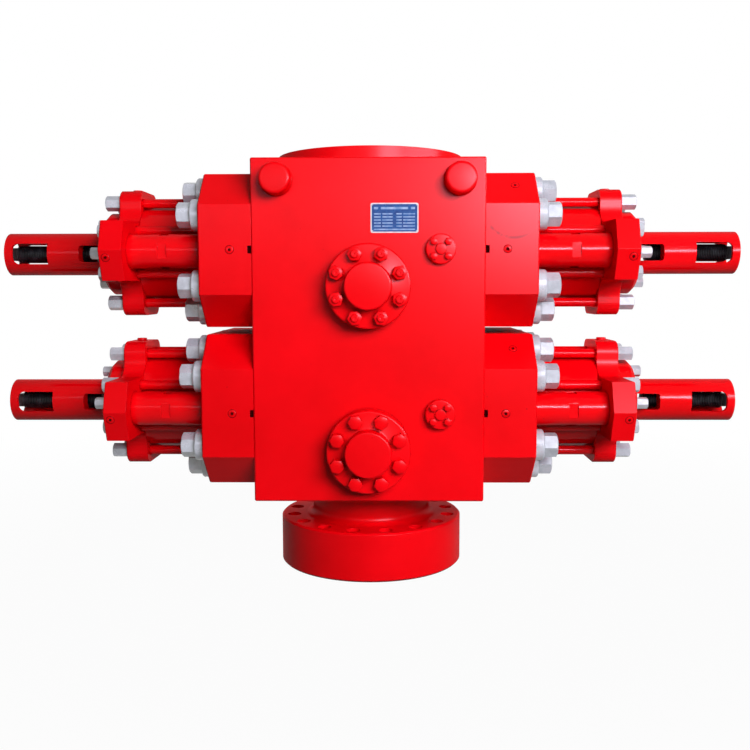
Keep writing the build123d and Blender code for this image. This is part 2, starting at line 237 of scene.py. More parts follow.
# Dark red for the joints round plugs, and as painted shade inside pry slots and sockets.
DARK_JOINT_AND_SHADE = (0.060, 0.0015, 0.0020, 1)
SLOT_SIZE = (0.0116, 0.0136, 0.0236)
SLOT_SHADE_WALL = 0.0004
SLOT_SETBACK = 0.006
PLUG_RADIUS = 0.0125
PLUG_PROUD = 0.0008
PLUG_ROOT = 0.002
PLUG_CHAMFER = 0.0006
PLUG_SEGMENTS = 36
PLUG_SOCKET_FLATS = 0.009
PLUG_SOCKET_FLOOR = 0.0001
PLUG_WELL_FLATS = PLUG_SOCKET_FLATS * 0.98
PLUG_WELL_FACE = 0.0003
PLUG_SEAM = 0.0015
PLUG_SEAM_FACE = 0.0002
PLUG_SEAM_ROOT = 0.001
BONNET_PLUG_SETBACK = 0.070
CORNER_PLUG_SETBACK = 0.100
CORNER_PLUG_RISE_SHARE = 0.58
BONNET_FLANK = 0.144
BONNET_CROWN = 0.260


def ram_level(level):
    """The height of a ram's middle line."""
    low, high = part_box(level + "_right_lock_screw")
    return (low.z + high.z) / 2


def scuffed_arc(tree, position):
    """A faint broken arc rubbed into the paint beside the plug of the upper right bonnet."""
    axes = add_node(tree, "ShaderNodeSeparateXYZ", {0: position}).outputs
    across = maths(tree, "SUBTRACT", axes["X"], body_side + SCUFF_PLACE[0])
    up = maths(tree, "SUBTRACT", axes["Z"], ram_level("upper") + SCUFF_PLACE[1])
    squares = maths(tree, "ADD", maths(tree, "POWER", across, 2.0), maths(tree, "POWER", up, 2.0))
    off = maths(tree, "ABSOLUTE", maths(tree, "SUBTRACT", maths(tree, "SQRT", squares), SCUFF_RADIUS))
    line = spread(tree, off, 0.0, SCUFF_WIDTH, 1.0, 0.0)
    broken = spread(tree, noise(tree, position, 60.0, 2.0), 0.32, 0.50, 0.35, 1.0)
    below = spread(tree, up, -0.06, -0.03, 1.0, 0.0)
    leftward = spread(tree, across, 0.02, 0.07, 1.0, 0.0)
    low_part = maths(tree, "MULTIPLY", below, leftward)
    on_front = maths(tree, "LESS_THAN", axes["Y"], 0.0)
    kept = maths(tree, "MULTIPLY", low_part, on_front)
    return maths(tree, "MULTIPLY", maths(tree, "MULTIPLY", line, broken), kept)


def skin(rows):
    """Points and faces of a closed form, from rows of points; a row of one point closes an end."""
    points = [point for row in rows for point in row]
    faces = []
    start = 0
    for row, following in zip(rows, rows[1:]):
        next_start = start + len(row)
        for index in range(max(len(row), len(following))):
            here = [start + (index + step) % len(row) for step in (0, 1)]
            there = [next_start + (index + step) % len(following) for step in (0, 1)]
            corners = [here[0], here[1], there[1], there[0]]
            faces.append(list(dict.fromkeys(corners)))
        start = next_start
    return points, faces


def turned(profile, segments=48):
    """A form turned on a lathe, from (radius, height) pairs between its two ends on the axis."""
    rows = []
    for radius, height in profile:
        if radius == 0:
            rows.append([Vector((0, 0, height))])
            continue
        angles = [2 * math.pi * index / segments for index in range(segments)]
        rows.append([Vector((radius * math.cos(a), radius * math.sin(a), height)) for a in angles])
    return skin(rows)


def rounded_rim(radius, height, fillet, steps=5):
    """The profile of an outer edge rounded from the side of a disc to its top."""
    angles = [math.pi / 2 * index / steps for index in range(steps + 1)]
    return [(radius - fillet * (1 - math.cos(a)), height - fillet * (1 - math.sin(a))) for a in angles]


def hexagon_row(flats, height, turn, side_steps=6, limit=None):
    """Points round a hexagon, or round a circle where its radius limit is smaller."""
    row = []
    for index in range(6 * side_steps):
        angle = math.pi / 3 * index / side_steps
        reach = flats / 2 / math.cos(angle % (math.pi / 3) - math.pi / 6)
        reach = min(reach, limit) if limit else reach
        level = height(reach) if callable(height) else height
        row.append(Vector((reach * math.cos(angle + turn), reach * math.sin(angle + turn), level)))
    return row


def facing(point, direction):
    """A placement with its own Z along a direction."""
    turn = Vector(direction).to_track_quat("Z", "Y").to_matrix().to_4x4()
    return Matrix.Translation(Vector(point)) @ turn


def make_piece(name, forms, material, body="preventer", smooth_angle=32.0):
    """One mesh from placed forms, with its finish, riding on its body."""
    points = []
    faces = []
    for (form_points, form_faces), placement in forms:
        first = len(points)
        points.extend(placement @ point for point in form_points)
        faces.extend([first + index for index in face] for face in form_faces)
    mesh = bpy.data.meshes.new(name)
    mesh.from_pydata(points, [], faces)
    mesh.materials.append(material)
    mesh.shade_smooth()
    mesh.set_sharp_from_angle(angle=math.radians(smooth_angle))
    piece = bpy.data.objects.new(name, mesh)
    bpy.context.scene.collection.objects.link(piece)
    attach(piece, body)
    return piece


def socket_plug(turn):
    """A round plug just proud of its face, with a hexagon socket in it."""
    top = PLUG_PROUD
    rim = PLUG_RADIUS
    count = PLUG_SEGMENTS
    profile = [(0, -PLUG_ROOT), (rim, -PLUG_ROOT), (rim, top * 0.6), (rim - PLUG_CHAMFER, top), (0, top)]
    rows = turned(profile, count)[0]
    outer = [rows[0:1], rows[1:1 + count], rows[1 + count:1 + 2 * count], rows[1 + 2 * count:1 + 3 * count]]
    mouth = hexagon_row(PLUG_SOCKET_FLATS, top, turn)
    floor = hexagon_row(PLUG_SOCKET_FLATS, PLUG_SOCKET_FLOOR, turn)
    return skin(outer + [mouth, floor, [Vector((0, 0, PLUG_SOCKET_FLOOR))]])


def socket_shade(turn):
    """Painted shade: a dark hexagon over the floor of a plug's socket."""
    foot = hexagon_row(PLUG_WELL_FLATS, -PLUG_SEAM_ROOT, turn)
    face = hexagon_row(PLUG_WELL_FLATS, PLUG_WELL_FACE, turn)
    return skin([[Vector((0, 0, -PLUG_SEAM_ROOT))], foot, face, [Vector((0, 0, PLUG_WELL_FACE))]])


def seam_ring():
    """The dark gap round a plug, a flat ring a hair above the paint."""
    inner = PLUG_RADIUS
    outer = PLUG_RADIUS + PLUG_SEAM
    count = PLUG_SEGMENTS
    outline = [(inner, -PLUG_SEAM_ROOT), (outer, -PLUG_SEAM_ROOT),
               (outer, PLUG_SEAM_FACE), (inner, PLUG_SEAM_FACE)]
    points, faces = turned(outline, count)
    last = len(points) - count
    faces.extend([last + i, last + (i + 1) % count, (i + 1) % count, i] for i in range(count))
    return points, faces


def black_oxide(name):
    """Blackened steel under thin oil, greyer where it has been rubbed."""
    material, tree, shader = new_material(name)
    position = add_node(tree, "ShaderNodeTexCoord").outputs["Object"]
    rubbed = spread(tree, noise(tree, position, 45.0, 4.0), 0.45, 0.75, 0.0, 1.0)
    colour = blend_colours(tree, rubbed, BLACK_OXIDE, BLACK_OXIDE_WORN)
    tree.links.new(colour, shader.inputs["Base Color"])
    tree.links.new(spread(tree, rubbed, 0.0, 1.0, 0.34, 0.50), shader.inputs["Roughness"])
    bump = {"Height": noise(tree, position, 400.0, 2.0), "Strength": 0.12, "Distance": 0.0004}
    tree.links.new(add_node(tree, "ShaderNodeBump", bump).outputs["Normal"], shader.inputs["Normal"])
    shader.inputs["Metallic"].default_value = 0.55
    return material


def slot_shade_box():
    """Painted shade for a pry slot: a thin dark open box over its floor and walls, its mouth towards Z."""
    wide, deep, tall = SLOT_SIZE
    shell = []
    for inset, floor in ((0.0, -deep), (SLOT_SHADE_WALL, -deep + SLOT_SHADE_WALL)):
        x = wide / 2 - inset
        y = tall / 2 - inset
        corners = ((-x, -y), (x, -y), (x, y), (-x, y))
        low_row = [Vector((a, b, floor)) for a, b in corners]
        shell.append((low_row, [Vector((a, b, 0.0)) for a, b in corners]))
    (outer_floor, outer_mouth), (inner_floor, inner_mouth) = shell
    middle = Vector((0, 0, -deep))
    inner_middle = Vector((0, 0, -deep + SLOT_SHADE_WALL))
    return skin([[middle], outer_floor, outer_mouth, inner_mouth, inner_floor, [inner_middle]])


scuffed_paint = red_gloss_paint("red_gloss_paint_scuffed", scuff_mask=scuffed_arc)
black_steel = black_oxide("black_oxide_steel")
# Painted shade in pry slots and socket floors; the same dark also colours the joints round plugs.
dark_gap, tree, shader = new_material("dark_gap")
shader.inputs["Base Color"].default_value = DARK_JOINT_AND_SHADE
shader.inputs["Roughness"].default_value = 0.85
shader.inputs["Specular IOR Level"].default_value = 0.1
turns = random.Random(11)
for level, side in RAM_ENDS:
    node_name = level + "_" + side + "_bonnet"
    dress(node_name, scuffed_paint if (level, side) == ("upper", "right") else red_paint)
    out = OUTWARD[side]
    low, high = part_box(node_name)
    middle = (low.z + high.z) / 2
    plugs = []
    seams_and_shade = []
    slot_shades = []
    places = []
    for front in (-1, 1):
        face = low.y if front < 0 else high.y
        places.append(((out * (body_side + BONNET_PLUG_SETBACK), face, middle), (0, front, 0)))
        # Painted shade: a dark open box set into each pry slot.
        slot_shades.append((slot_shade_box(), facing((out * (body_side + SLOT_SETBACK), face, middle), (0, front, 0))))
    corner_front = -out
    rise = CORNER_PLUG_RISE_SHARE
    corner_y = corner_front * (high.y * (1 - rise) + BONNET_CROWN * rise)
    corner_z = middle + BONNET_FLANK * (1 - rise) + (high.z - middle) * rise
    slope = (0, corner_front * (high.z - middle - BONNET_FLANK), high.y - BONNET_CROWN)
    places.append(((out * (body_side + CORNER_PLUG_SETBACK), corner_y, corner_z), slope))
    for point, direction in places:
        turn = turns.uniform(0, math.pi)
        plugs.append((socket_plug(turn), facing(point, direction)))
        # Painted shade: a dark hexagon in each socket, together with the dark joint round each plug.
        seams_and_shade.append((socket_shade(turn), facing(point, direction)))
        seams_and_shade.append((seam_ring(), facing(point, direction)))
    make_piece(level + "_" + side + "_bonnet_plugs", plugs, red_paint)
    make_piece(level + "_" + side + "_bonnet_plug_gaps", seams_and_shade, dark_gap)
    make_piece(level + "_" + side + "_pry_slot_linings", slot_shades, dark_gap)


# Bonnet bolts
# Eight big steel bolts hold each bonnet, two in every corner, each with a thick round collar under its
# hexagon. They are forged, chamfered and zinc plated, and were left unpainted and turned at random.
ZINC_BRIGHT = (0.56, 0.59, 0.57, 1)
ZINC_DULL = (0.41, 0.435, 0.42, 1)
# Painted shade: the dark grey that the zinc's corners are blended towards.
ZINC_SHADE_IN_CORNERS = (0.10, 0.10, 0.11, 1)
ZINC_SHADE_REACH = 0.01
ZINC_EDGE = 0.0014
COLLAR_RADIUS = 0.052
COLLAR_HEIGHT = 0.033
COLLAR_ROUNDING = 0.007
COLLAR_FOOT_EDGE = 0.002
BOLT_HEAD_FLATS = 0.072
BOLT_HEAD_HEIGHT = 0.046
HEAD_SHOULDER_SHARE = 0.95
HEAD_CHAMFER = math.radians(30)
OUTER_BOLT = (0.300, 0.115)
INNER_BOLT = (0.190, 0.195)


def zinc_plate(name):
    """Zinc plating over turned and forged steel: satin, clouded, with a fine bite and painted shade in corners.
    """
    material, tree, shader = new_material(name)
    position = add_node(tree, "ShaderNodeTexCoord").outputs["Object"]
    cloud = noise(tree, position, 28.0, 5.0, 0.6)
    colour = blend_colours(tree, spread(tree, cloud, 0.35, 0.68, 0.0, 1.0), ZINC_DULL, ZINC_BRIGHT)
    # Painted shade: ambient occlusion darkens the zinc in corners, under heads and between parts.
    occlusion = add_node(tree, "ShaderNodeAmbientOcclusion", {"Distance": ZINC_SHADE_REACH}, samples=6)
    corner = occlusion.outputs["AO"]
    colour = blend_colours(tree, spread(tree, corner, 0.2, 0.8, 0.6, 0.0), colour, ZINC_SHADE_IN_CORNERS)
    tree.links.new(colour, shader.inputs["Base Color"])
    tree.links.new(spread(tree, cloud, 0.3, 0.7, 0.32, 0.26), shader.inputs["Roughness"])
    soft_edge = add_node(tree, "ShaderNodeBevel", {"Radius": ZINC_EDGE}, samples=4).outputs["Normal"]
    bite = {"Height": noise(tree, position, 520.0, 3.0), "Strength": 0.10, "Distance": 0.0004,
            "Normal": soft_edge}
    tree.links.new(add_node(tree, "ShaderNodeBump", bite).outputs["Normal"], shader.inputs["Normal"])
    shader.inputs["Metallic"].default_value = 0.25
    shader.inputs["Specular IOR Level"].default_value = 0.2
    return material


def hexagon_head(flats, height, turn, base=0.0):
    """A hexagon head or nut, with its outer corners turned off at thirty degrees."""
    shoulder = flats / 2 * HEAD_SHOULDER_SHARE
    top = base + height

    def chamfered(reach):
        return top - max(0.0, reach - shoulder) * math.tan(HEAD_CHAMFER)

    rows = [[Vector((0, 0, base))], hexagon_row(flats, base, turn), hexagon_row(flats, chamfered, turn)]
    rows.append(hexagon_row(flats, top, turn, limit=shoulder))
    rows.append([Vector((0, 0, top))])
    return skin(rows)


def collar():
    """The thick round collar under a bonnet bolt's hexagon, its outer edge rounded."""
    rim = rounded_rim(COLLAR_RADIUS, COLLAR_HEIGHT, COLLAR_ROUNDING)
    foot = [(0, 0), (COLLAR_RADIUS - COLLAR_FOOT_EDGE, 0), (COLLAR_RADIUS, COLLAR_FOOT_EDGE)]
    return turned(foot + rim + [(0, COLLAR_HEIGHT)], 64)


zinc = zinc_plate("zinc_plated_steel")
turns = random.Random(29)
for level, side in RAM_ENDS:
    node_name = level + "_" + side + "_bonnet_bolts"
    out = OUTWARD[side]
    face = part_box(level + "_" + side + "_bonnet")[1 if out > 0 else 0].x
    heads = []
    for y, z in (OUTER_BOLT, INNER_BOLT):
        for front in (-1, 1):
            for up in (-1, 1):
                place = facing((face, front * y, ram_level(level) + up * z), (out, 0, 0))
                turn = turns.uniform(0, math.pi / 3)
                heads.append((collar(), place))
                heads.append((hexagon_head(BOLT_HEAD_FLATS, BOLT_HEAD_HEIGHT, turn, COLLAR_HEIGHT), place))
    bolts = make_piece(level + "_" + side + "_bonnet_bolt_heads", heads, zinc)
    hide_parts(node_name)


# Operating cylinders, ram-change cylinders and tie rods
# A steel cylinder drives each ram, with a slim ram-change cylinder in front of it and behind it, and
# eight tie rods clamp all three between bonnet and head. All were painted red after assembly.
turned_paint = red_gloss_paint("red_gloss_paint_on_turned_steel", smooth=0.11, rough=0.15,
                               peel_strength=0.02)
for level, side in RAM_ENDS:
    for part in ("operating_cylinder", "change_cylinders", "tie_rods"):
        dress(level + "_" + side + "_" + part, turned_paint)


# Cylinder heads
# Cut steel plates over the ends of the cylinders, with an ear above and below and a nose front and back.
# Each has a socket plug in either nose and a port plug on top of its upper ear, all painted red.
NOSE_PLUG_SETBACK = 0.023
NOSE_PLUG_DROP = 0.024
NOSE_REACH_FALL = 0.036
NOSE_HALF_HEIGHT = 0.098
PORT_PLUG_RADIUS = 0.017
PORT_PLUG_HEIGHT = 0.009
PORT_PLUG_EDGE = 0.002

turns = random.Random(43)
for level, side in RAM_ENDS:
    node_name = level + "_" + side + "_cylinder_head"
    dress(node_name, red_paint)
    out = OUTWARD[side]
    low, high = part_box(node_name)
    outer_face = high.x if out > 0 else low.x
    plugs = []
    seams_and_shade = []
    for front in (-1, 1):
        fall = NOSE_REACH_FALL * NOSE_PLUG_DROP / NOSE_HALF_HEIGHT
        point = (outer_face - out * NOSE_PLUG_SETBACK, front * (high.y - fall),
                 ram_level(level) - NOSE_PLUG_DROP)
        slope = (0, front * NOSE_HALF_HEIGHT, -NOSE_REACH_FALL)
        turn = turns.uniform(0, math.pi)
        plugs.append((socket_plug(turn), facing(point, slope)))
        # Painted shade: a dark hexagon in each socket, together with the dark joint round each plug.
        seams_and_shade.append((socket_shade(turn), facing(point, slope)))
        seams_and_shade.append((seam_ring(), facing(point, slope)))
    top_place = facing(((low.x + high.x) / 2, 0, high.z), (0, 0, 1))
    foot = [(0, -PLUG_ROOT), (PORT_PLUG_RADIUS, -PLUG_ROOT)]
    rim = rounded_rim(PORT_PLUG_RADIUS, PORT_PLUG_HEIGHT, PORT_PLUG_EDGE)
    plugs.append((turned(foot + rim + [(0, PORT_PLUG_HEIGHT)]), top_place))
    make_piece(level + "_" + side + "_head_plugs", plugs, red_paint)
    make_piece(level + "_" + side + "_head_plug_gaps", seams_and_shade, dark_gap)


# Tie-rod nuts and lock-housing bolts
# Hexagon nuts draw the eight tie rods up against each head, and four hexagon bolts on washers hold the
# lock-screw housing. They are zinc plated like the bonnet bolts and left bare.
TIE_CIRCLE_RADIUS = 0.1883
TIE_NUT_FLATS = 0.046
TIE_NUT_HEIGHT = 0.054
LOCK_CIRCLE_RADIUS = 0.104
LOCK_BOLT_FLATS = 0.036
LOCK_BOLT_HEIGHT = 0.042
LOCK_WASHER_RADIUS = 0.0225
LOCK_WASHER_HEIGHT = 0.005
LOCK_WASHER_EDGE = 0.001

turns = random.Random(57)
for level, side in RAM_ENDS:
    out = OUTWARD[side]
    low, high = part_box(level + "_" + side + "_head_nuts")
    head_face = low.x if out > 0 else high.x
    flange_face = (high.x if out > 0 else low.x) - out * LOCK_BOLT_HEIGHT
    fasteners = []
    for index in range(8):
        angle = math.pi / 4 * (index + 0.5)
        spot = (head_face, TIE_CIRCLE_RADIUS * math.cos(angle),
                ram_level(level) + TIE_CIRCLE_RADIUS * math.sin(angle))
        nut = hexagon_head(TIE_NUT_FLATS, TIE_NUT_HEIGHT, turns.uniform(0, math.pi / 3))
        fasteners.append((nut, facing(spot, (out, 0, 0))))
    for index in range(4):
        angle = math.pi / 2 * index
        spot = (flange_face, LOCK_CIRCLE_RADIUS * math.cos(angle),
                ram_level(level) + LOCK_CIRCLE_RADIUS * math.sin(angle))
        place = facing(spot, (out, 0, 0))
        washer_rim = rounded_rim(LOCK_WASHER_RADIUS, LOCK_WASHER_HEIGHT, LOCK_WASHER_EDGE, 2)
        washer = turned([(0, 0), (LOCK_WASHER_RADIUS, 0)] + washer_rim + [(0, LOCK_WASHER_HEIGHT)])
        bolt_height = LOCK_BOLT_HEIGHT - LOCK_WASHER_HEIGHT
        bolt = hexagon_head(LOCK_BOLT_FLATS, bolt_height, turns.uniform(0, math.pi / 3), LOCK_WASHER_HEIGHT)
        fasteners.extend([(washer, place), (bolt, place)])
    nuts = make_piece(level + "_" + side + "_head_fasteners", fasteners, zinc)
    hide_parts(level + "_" + side + "_head_nuts")


# Lock-screw housings
# A bolted flange and a tube turned from one bar, with two windows milled straight through the tube and a
# thread between them. They are painted red outside.
for level, side in RAM_ENDS:
    dress(level + "_" + side + "_lock_housing", turned_paint)


# Locking screws
# Blackened steel screws with a fine thread over their whole length and a square end for the turning key.
# Run in, a screw holds its ram shut from behind.
THREAD_PITCH = 0.006
THREAD_DEPTH = 0.0030
THREAD_STEPS = 8
TOOTH_FULLNESS = 1.5
TOOTH_SLOPE = 4.4
SCREW_SEGMENTS = 64
KEY_FLATS = 0.046
KEY_LENGTH = 0.019
KEY_CORNER = 0.004
KEY_CHAMFER = 0.003


def thread_radius(crest, along, angle, length):
    """The screw's radius at a place: a blunt thread that runs out near both ends."""
    phase = (along / THREAD_PITCH - angle / (2 * math.pi)) % 1.0
    tooth = min(1.0, max(0.0, TOOTH_FULLNESS - abs(phase - 0.5) * TOOTH_SLOPE))
    near_end = min(along, length - along)
    kept = min(1.0, near_end / THREAD_PITCH)
    return crest - THREAD_DEPTH * (1 - tooth * kept)


def threaded_bar(crest, length):
    """A threaded bar from its inner end to the shoulder of its key."""
    rows = [[Vector((0, 0, 0))]]
    count = round(length / THREAD_PITCH * THREAD_STEPS)
    for step in range(count + 1):
        along = length * step / count
        row = []
        for index in range(SCREW_SEGMENTS):
            angle = 2 * math.pi * index / SCREW_SEGMENTS
            radius = thread_radius(crest, along, angle, length)
            row.append(Vector((radius * math.cos(angle), radius * math.sin(angle), along)))
        rows.append(row)
    rows.append([Vector((0, 0, length))])
    return skin(rows)


def square_key(start, length, turn):
    """The square end for the key, its corners and its end edge taken off."""
    rows = [[Vector((0, 0, start))]]
    half = KEY_FLATS / 2
    for inset, along in ((0.0, start), (0.0, start + length - KEY_CHAMFER), (KEY_CHAMFER, start + length)):
        flat = half - KEY_CORNER
        reach = half - inset
        row = []
        for quarter in range(4):
            spin = Matrix.Rotation(turn + math.pi / 2 * quarter, 4, "Z")
            row.extend(spin @ Vector((reach, side_y, along)) for side_y in (-flat, flat))
        rows.append(row)
    rows.append([Vector((0, 0, start + length))])
    return skin(rows)


for level, side in RAM_ENDS:
    node_name = level + "_" + side + "_lock_screw"
    out = OUTWARD[side]
    low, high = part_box(node_name)
    inner_end = low.x if out > 0 else high.x
    bar_length = high.x - low.x - KEY_LENGTH
    place = facing((inner_end, 0, ram_level(level)), (out, 0, 0))
    forms = [(threaded_bar((high.z - low.z) / 2, bar_length), place)]
    forms.append((square_key(bar_length, KEY_LENGTH, 0.0), place))
    screw = make_piece(level + "_" + side + "_threaded_screw", forms, black_steel,
                       level + "_" + side + "_screw")
    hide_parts(node_name)


# Side outlets
# Blind flanges close the side outlets under each ram, front and back, each with a round hub. Upper ones
# are held by nuts on studs and lower ones by hexagon bolts, and all were sprayed red with the body.
OUTLET_FLANGE_THICKNESS = 0.058
OUTLET_HUB_RADIUS = 0.0745
OUTLET_CIRCLE_RADIUS = 0.10795
OUTLET_NUT_FLATS = 0.0413
OUTLET_NUT_HEIGHT = 0.0254
OUTLET_STUD_RADIUS = 0.0125
OUTLET_STUD_LENGTH = 0.006
OUTLET_FOOT_EDGE = 0.002
OUTLET_EDGE = 0.006
HUB_FILLET = 0.004
HUB_FILLET_MIDDLE = 0.0012
STUD_ROOT = 0.001
STUD_CHAMFER = 0.002
STUD_CENTRE_RADIUS = 0.0035
STUD_CENTRE_DEPTH = 0.003

turns = random.Random(71)
for level in ("lower", "upper"):
    low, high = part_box(level + "_outlet_flanges")
    outlet_level = (low.z + high.z) / 2
    flange_radius = (high.x - low.x) / 2
    reach = high.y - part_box("body")[1].y
    discs = []
    bolts = []
    for front in (-1, 1):
        place = facing((0, -front * body_front, outlet_level), (0, front, 0))
        face = OUTLET_FLANGE_THICKNESS
        profile = [(0, 0), (flange_radius - OUTLET_FOOT_EDGE, 0), (flange_radius, OUTLET_FOOT_EDGE)]
        profile += rounded_rim(flange_radius, face, OUTLET_EDGE)
        profile += [(OUTLET_HUB_RADIUS + HUB_FILLET, face)]
        profile += [(OUTLET_HUB_RADIUS + HUB_FILLET_MIDDLE, face + HUB_FILLET_MIDDLE)]
        profile += [(OUTLET_HUB_RADIUS, face + HUB_FILLET)]
        profile += rounded_rim(OUTLET_HUB_RADIUS, reach, OUTLET_EDGE) + [(0, reach)]
        discs.append((turned(profile, 96), place))
        for index in range(8):
            angle = math.pi / 4 * (index + 0.5)
            offset = Vector((math.cos(angle), math.sin(angle), 0)) * OUTLET_CIRCLE_RADIUS
            spot = place @ Matrix.Translation(offset + Vector((0, 0, OUTLET_FLANGE_THICKNESS)))
            turn = turns.uniform(0, math.pi / 3)
            bolts.append((hexagon_head(OUTLET_NUT_FLATS, OUTLET_NUT_HEIGHT, turn), spot))
            if level == "upper":
                end = OUTLET_NUT_HEIGHT + OUTLET_STUD_LENGTH
                stud = [(0, STUD_ROOT), (OUTLET_STUD_RADIUS, STUD_ROOT),
                        (OUTLET_STUD_RADIUS, end - STUD_CHAMFER), (OUTLET_STUD_RADIUS - STUD_CHAMFER, end),
                        (STUD_CENTRE_RADIUS, end), (0, end - STUD_CENTRE_DEPTH)]
                bolts.append((turned(stud, 32), spot))
    flanges = make_piece(level + "_blind_flanges", discs, red_paint, smooth_angle=40.0)
    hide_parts(level + "_outlet_flanges")
    nuts = make_piece(level + "_blind_flange_nuts", bolts, red_paint)
    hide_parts(level + "_outlet_nuts")


# Control port covers
# Round steel covers over the control ports, to the right of the outlets, each held by four small
# hexagon bolts on its diagonals, with a socket plug in a raised ring at its middle.
PORT_COVER_THICKNESS = 0.025
PORT_BOSS_RADIUS = 0.0175
PORT_BOSS_HEIGHT = 0.006
PORT_BOSS_EDGE = 0.002
PORT_COVER_EDGE = 0.004
PORT_BOLT_CIRCLE_RADIUS = 0.0325
PORT_BOLT_FLATS = 0.021
PORT_BOLT_HEIGHT = 0.011

turns = random.Random(83)
low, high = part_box("port_covers")
cover_radius = (high.x - low.x) / 2
covers = []
for level in ("lower", "upper"):
    place = facing(((low.x + high.x) / 2, body_front, ram_level(level)), (0, -1, 0))
    profile = [(0, 0), (cover_radius, 0)] + rounded_rim(cover_radius, PORT_COVER_THICKNESS, PORT_COVER_EDGE)
    covers.append((turned(profile + [(0, PORT_COVER_THICKNESS)], 64), place))
    boss_foot = PORT_COVER_THICKNESS - PORT_BOSS_EDGE
    boss = [(0, boss_foot), (PORT_BOSS_RADIUS, boss_foot)]
    boss += rounded_rim(PORT_BOSS_RADIUS, PORT_COVER_THICKNESS + PORT_BOSS_HEIGHT, PORT_BOSS_EDGE)
    covers.append((turned(boss + [(0, PORT_COVER_THICKNESS + PORT_BOSS_HEIGHT)]), place))
    for index in range(4):
        angle = math.pi / 4 + math.pi / 2 * index
        offset = Vector((math.cos(angle), math.sin(angle), 0)) * PORT_BOLT_CIRCLE_RADIUS
        spot = place @ Matrix.Translation(offset + Vector((0, 0, PORT_COVER_THICKNESS)))
        covers.append((hexagon_head(PORT_BOLT_FLATS, PORT_BOLT_HEIGHT, turns.uniform(0, 1.0)), spot))
port_covers = make_piece("control_port_covers", covers, red_paint, smooth_angle=40.0)
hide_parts("port_covers")


# Lifting pins
# Stout round pins let into the block near its top corners, front and back, to sling the preventer from.
# Turned steel with a rounded end, painted with the body.
PIN_EDGE = 0.010
PIN_FOOT_FILLET = 0.003
PIN_FOOT_FILLET_MIDDLE = 0.0009

low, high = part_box("lifting_pins")
pin_radius = (high.z - low.z) / 2
pin_length = body_front - low.y
pins = []
for front in (-1, 1):
    for side in (-1, 1):
        point = (side * (high.x - pin_radius), -front * body_front, low.z + pin_radius)
        foot = [(0, 0), (pin_radius + PIN_FOOT_FILLET, 0),
                (pin_radius + PIN_FOOT_FILLET_MIDDLE, PIN_FOOT_FILLET_MIDDLE), (pin_radius, PIN_FOOT_FILLET)]
        profile = foot + rounded_rim(pin_radius, pin_length, PIN_EDGE, 8) + [(0, pin_length)]
        pins.append((turned(profile, 80), facing(point, (0, front, 0))))
lifting_pins = make_piece("rounded_lifting_pins", pins, red_paint, smooth_angle=40.0)
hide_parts("lifting_pins")


# Data plate
# A thin aluminium plate with a blue enamelled field, riveted to the front of the block. Its fields are
# plain blank boxes in a silver border.
PLATE_LEFT = 0.008
PLATE_RIGHT = 0.160
PLATE_FOOT = 1.162
PLATE_HEAD = 1.256
PLATE_THICKNESS = 0.0012
PLATE_CORNER = 0.006
PLATE_BORDER = 0.0038
ENAMEL_BLUE = (0.024, 0.092, 0.25, 1)
ENAMEL_BLUE_DEEP = (0.008, 0.040, 0.15, 1)
PRINT_PALE = (0.13, 0.23, 0.38, 1)
PRINT_PALER = (0.30, 0.42, 0.56, 1)
PLATE_SILVER = (0.82, 0.74, 0.70, 1)
PLATE_SILVER_DULL = (0.66, 0.59, 0.56, 1)
RIVET_RADIUS = 0.0024
RIVET_FOOT = 0.0006
RIVET_HEIGHT = 0.0018
RIVET_ROUNDING = 0.0012
ENAMEL_THICKNESS = 0.0002
ENAMEL_CORNER = 0.003
FIELD_CORNER = 0.0012
PLATE_ROWS = 9


def rounded_plate(left, right, foot, head, corner, back, front):
    """A flat plate with round corners, between two depths."""
    outline = []
    for x, z, first in ((right - corner, head - corner, 0.0), (left + corner, head - corner, 0.5),
                        (left + corner, foot + corner, 1.0), (right - corner, foot + corner, 1.5)):
        for step in range(7):
            angle = math.pi * (first + step / 12)
            outline.append((x + corner * math.cos(angle), z + corner * math.sin(angle)))
    middle = ((left + right) / 2, (foot + head) / 2)
    rows = [[Vector((middle[0], back, middle[1]))]]
    rows.append([Vector((x, back, z)) for x, z in outline])
    rows.append([Vector((x, front, z)) for x, z in outline])
    rows.append([Vector((middle[0], front, middle[1]))])
    return skin(rows)


def clouded_coat(name, first, second, roughness, metallic):
    """A thin coat with faint clouds in it."""
    material, tree, shader = new_material(name)
    position = add_node(tree, "ShaderNodeTexCoord").outputs["Object"]
    cloud = noise(tree, position, 70.0, 4.0)
    colour = blend_colours(tree, spread(tree, cloud, 0.35, 0.65, 0.0, 1.0), first, second)
    tree.links.new(colour, shader.inputs["Base Color"])
    tree.links.new(spread(tree, cloud, 0.3, 0.7, roughness, roughness + 0.1), shader.inputs["Roughness"])
    shader.inputs["Metallic"].default_value = metallic
    return material


plate_silver = clouded_coat("plate_silver", PLATE_SILVER, PLATE_SILVER_DULL, 0.34, 0.35)
enamel_blue = clouded_coat("plate_blue_enamel", ENAMEL_BLUE, ENAMEL_BLUE_DEEP, 0.24, 0.0)
upright = Matrix.Identity(4)
plate_front = body_front - PLATE_THICKNESS
plate = rounded_plate(PLATE_LEFT, PLATE_RIGHT, PLATE_FOOT, PLATE_HEAD, PLATE_CORNER, body_front, plate_front)
make_piece("data_plate", [(plate, upright)], plate_silver)
field_left = PLATE_LEFT + PLATE_BORDER
field_right = PLATE_RIGHT - PLATE_BORDER
field_foot = PLATE_FOOT + PLATE_BORDER
field_head = PLATE_HEAD - PLATE_BORDER
field_front = plate_front - ENAMEL_THICKNESS
field = rounded_plate(field_left, field_right, field_foot, field_head, ENAMEL_CORNER, plate_front, field_front)
make_piece("data_plate_enamel", [(field, upright)], enamel_blue)
boxes = []
row_height = (field_head - field_foot) / PLATE_ROWS
